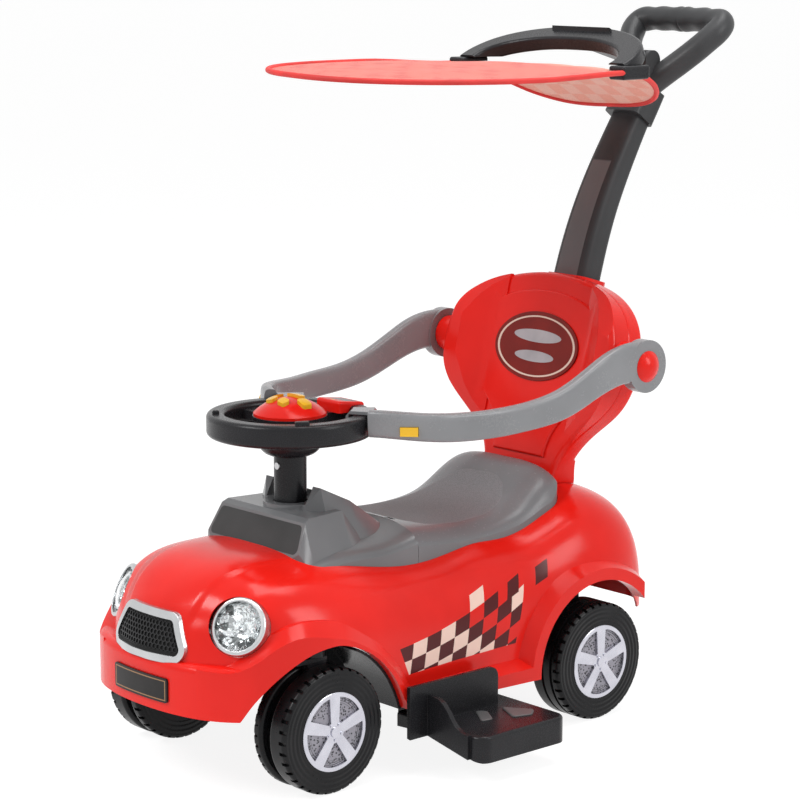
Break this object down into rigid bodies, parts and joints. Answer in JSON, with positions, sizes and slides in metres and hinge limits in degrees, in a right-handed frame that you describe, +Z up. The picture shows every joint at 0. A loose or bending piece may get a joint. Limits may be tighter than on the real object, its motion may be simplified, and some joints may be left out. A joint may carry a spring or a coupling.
{
  "type": "push car with handle",
  "caption": "Toddler push car with hatchback body, steered front wheels, lift-up seat over a bin, guard arms, footrests, tall push pole with loop handle and tilting canopy.",
  "frame": {"origin": "on the ground at the middle of the overall length and width", "axes": "+X the car's left, -Y its front, +Z up"},
  "size_m": [0.5, 0.8702, 0.8239],
  "materials": {
    "red_gloss": "gloss",
    "grey_gloss": "gloss",
    "dark_grey": "satin",
    "charcoal": "satin",
    "black_plastic": "satin",
    "tyre_black": "satin",
    "silver": "metallised",
    "clear": "clear",
    "yellow": "gloss",
    "badge_red": "printed film",
    "steel": "zinc plated",
    "red_trim": "binding tape over sprung wire",
    "red_fabric": "thin woven polyester"
  },
  "bodies": {
    "base": {"body_shell": "red_gloss", "chassis_tray": "black_plastic", "storage_bin": "black_plastic", "dash_cowl": "grey_gloss", "windscreen_panel": "dark_grey", "seat_hinge_pin": "steel", "grille_frame": "silver", "grille_mesh": "black_plastic", "number_plate": "dark_grey", "backrest_front": "red_gloss", "backrest_rear": "red_gloss", "backrest_badge": "badge_red", "backrest_screws": "steel", "push_pole": "charcoal", "pole_collar": "charcoal", "handle_grip": "charcoal", "rear_axle": "steel", "headlight_bezel_left": "silver", "headlight_lens_left": "clear", "arm_cap_left": "red_gloss", "footrest_left": "black_plastic", "headlight_bezel_right": "silver", "headlight_lens_right": "clear", "arm_cap_right": "red_gloss", "footrest_right": "black_plastic"},
    "column": {"steering_rod": "steel", "column_sleeve": "black_plastic", "column_screw": "steel", "steering_wheel": "black_plastic", "sound_box": "black_plastic", "horn_dome": "red_gloss", "control_panel": "red_gloss"},
    "tie_rod": {"tie_rod": "steel"},
    "seat": {"seat_lid": "grey_gloss"},
    "canopy": {"canopy_bracket": "black_plastic", "canopy_clip_left": "black_plastic", "canopy_clip_right": "black_plastic", "canopy_hoop": "red_trim", "canopy_fabric": "red_fabric"},
    "knuckle_left": {"knuckle_left": "black_plastic"},
    "front_wheel_left": {"front_wheel_left": "tyre_black", "front_axle_left": "steel", "front_hubcap_left": "silver"},
    "rear_wheel_left": {"rear_wheel_left": "tyre_black", "rear_hubcap_left": "silver"},
    "guard_arm_left": {"guard_arm_left": "grey_gloss"},
    "arm_button_left": {"arm_button_left": "yellow"},
    "knuckle_right": {"knuckle_right": "black_plastic"},
    "front_wheel_right": {"front_wheel_right": "tyre_black", "front_axle_right": "steel", "front_hubcap_right": "silver"},
    "rear_wheel_right": {"rear_wheel_right": "tyre_black", "rear_hubcap_right": "silver"},
    "guard_arm_right": {"guard_arm_right": "grey_gloss"},
    "arm_button_right": {"arm_button_right": "yellow"},
    "button_left": {"horn_button_left": "yellow"},
    "button_right": {"horn_button_right": "yellow"},
    "button_front_left": {"horn_button_front_left": "yellow"},
    "button_front_right": {"horn_button_front_right": "yellow"},
    "button_centre": {"horn_button_centre": "yellow"}
  },
  "joints": [
    {"name": "steering", "type": "hinge", "parent": "base", "child": "column", "pos_m": [0, -0.22058, 0.3], "axis": [0, 0, 1], "range_deg": [-20, 20]},
    {"name": "tie_rod_pivot", "type": "hinge", "parent": "column", "child": "tie_rod", "pos_m": [0, -0.24458, 0.15], "axis": [0, 0, 1], "range_deg": [-20, 20]},
    {"name": "seat_hinge", "type": "hinge", "parent": "base", "child": "seat", "pos_m": [0, -0.10658, 0.251], "axis": [1, 0, 0], "range_deg": [0, 60]},
    {"name": "canopy_tilt", "type": "hinge", "parent": "base", "child": "canopy", "pos_m": [0, 0.34042, 0.76], "axis": [-1, 0, 0], "range_deg": [0, 25]},
    {"name": "knuckle_turn_left", "type": "hinge", "parent": "base", "child": "knuckle_left", "pos_m": [0.127, -0.29258, 0.15], "axis": [0, 0, 1], "range_deg": [-20, 20]},
    {"name": "front_spin_left", "type": "hinge", "parent": "knuckle_left", "child": "front_wheel_left", "pos_m": [0.127, -0.29258, 0.07], "axis": [1, 0, 0], "continuous": true},
    {"name": "rear_spin_left", "type": "hinge", "parent": "base", "child": "rear_wheel_left", "pos_m": [0.137, 0.11742, 0.07], "axis": [1, 0, 0], "continuous": true},
    {"name": "arm_lift_left", "type": "hinge", "parent": "base", "child": "guard_arm_left", "pos_m": [0.165, 0.17042, 0.419], "axis": [-1, 0, 0], "range_deg": [0, 60]},
    {"name": "arm_press_left", "type": "slide", "parent": "guard_arm_left", "child": "arm_button_left", "axis": [-0.682, 0.7314, 0], "range_m": [0, 0.002], "stiffness_N_per_m": 400},
    {"name": "knuckle_turn_right", "type": "hinge", "parent": "base", "child": "knuckle_right", "pos_m": [-0.127, -0.29258, 0.15], "axis": [0, 0, 1], "range_deg": [-20, 20]},
    {"name": "front_spin_right", "type": "hinge", "parent": "knuckle_right", "child": "front_wheel_right", "pos_m": [-0.127, -0.29258, 0.07], "axis": [1, 0, 0], "continuous": true},
    {"name": "rear_spin_right", "type": "hinge", "parent": "base", "child": "rear_wheel_right", "pos_m": [-0.137, 0.11742, 0.07], "axis": [1, 0, 0], "continuous": true},
    {"name": "arm_lift_right", "type": "hinge", "parent": "base", "child": "guard_arm_right", "pos_m": [-0.165, 0.17042, 0.419], "axis": [-1, 0, 0], "range_deg": [0, 60]},
    {"name": "arm_press_right", "type": "slide", "parent": "guard_arm_right", "child": "arm_button_right", "axis": [0.682, 0.7314, 0], "range_m": [0, 0.002], "stiffness_N_per_m": 400},
    {"name": "horn_left", "type": "slide", "parent": "column", "child": "button_left", "axis": [0, 0, -1], "range_m": [0, 0.0025], "stiffness_N_per_m": 300},
    {"name": "horn_right", "type": "slide", "parent": "column", "child": "button_right", "axis": [0, 0, -1], "range_m": [0, 0.0025], "stiffness_N_per_m": 300},
    {"name": "horn_front_left", "type": "slide", "parent": "column", "child": "button_front_left", "axis": [0, 0, -1], "range_m": [0, 0.0025], "stiffness_N_per_m": 300},
    {"name": "horn_front_right", "type": "slide", "parent": "column", "child": "button_front_right", "axis": [0, 0, -1], "range_m": [0, 0.0025], "stiffness_N_per_m": 300},
    {"name": "horn_centre", "type": "slide", "parent": "column", "child": "button_centre", "axis": [0, 0, -1], "range_m": [0, 0.0025], "stiffness_N_per_m": 300}
  ],
  "couplings": [
    {"joint": "tie_rod_pivot", "follows": "steering", "ratio": -1},
    {"joint": "knuckle_turn_left", "follows": "steering", "ratio": 1},
    {"joint": "knuckle_turn_right", "follows": "steering", "ratio": 1}
  ]
}
